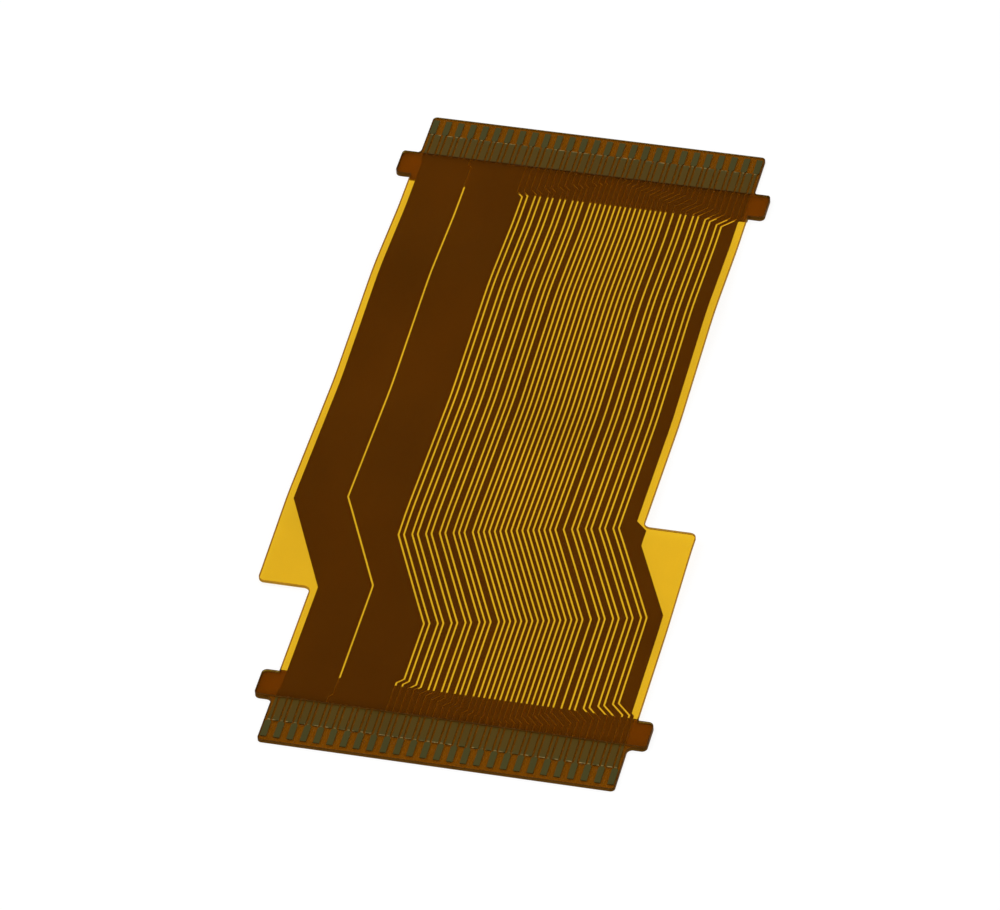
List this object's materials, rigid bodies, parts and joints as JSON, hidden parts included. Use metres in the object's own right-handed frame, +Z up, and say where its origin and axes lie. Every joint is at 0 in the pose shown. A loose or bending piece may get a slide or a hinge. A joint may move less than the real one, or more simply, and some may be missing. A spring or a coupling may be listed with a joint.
{
  "type": "flat flex cable",
  "caption": "Short flat flex cable with a sideways step, etched copper conductors between two amber films, stiffened ends and bare contacts in two staggered rows.",
  "frame": {"origin": "middle of the footprint's bounding box, on the surface that the cable lies on", "axes": "+Y along the cable from the near end to the far end, +X to the right, +Z up, on the side of the bare contacts"},
  "size_m": [0.0202, 0.0414, 0.0006],
  "materials": {
    "film": "clear amber polyimide film, smooth",
    "stiffener": "thicker amber polyimide, smooth",
    "copper": "etched copper foil, plated on the bare contacts"
  },
  "bodies": {
    "root": {"base_film": "film", "cover_film": "film", "near_stiffener": "stiffener", "far_stiffener": "stiffener", "first_wide_conductor": "copper", "second_wide_conductor": "copper", "signal_conductor_01": "copper", "signal_conductor_02": "copper", "signal_conductor_03": "copper", "signal_conductor_04": "copper", "signal_conductor_05": "copper", "signal_conductor_06": "copper", "signal_conductor_07": "copper", "signal_conductor_08": "copper", "signal_conductor_09": "copper", "signal_conductor_10": "copper", "signal_conductor_11": "copper", "signal_conductor_12": "copper", "signal_conductor_13": "copper", "signal_conductor_14": "copper", "signal_conductor_15": "copper", "signal_conductor_16": "copper", "signal_conductor_17": "copper", "signal_conductor_18": "copper", "signal_conductor_19": "copper", "signal_conductor_20": "copper", "signal_conductor_21": "copper", "signal_conductor_22": "copper", "signal_conductor_23": "copper", "signal_conductor_24": "copper", "signal_conductor_25": "copper", "signal_conductor_26": "copper", "signal_conductor_27": "copper", "signal_conductor_28": "copper", "signal_conductor_29": "copper", "signal_conductor_30": "copper", "signal_conductor_31": "copper", "signal_conductor_32": "copper", "signal_conductor_33": "copper", "signal_conductor_34": "copper", "signal_conductor_35": "copper", "edge_conductor": "copper"}
  },
  "joints": []
}
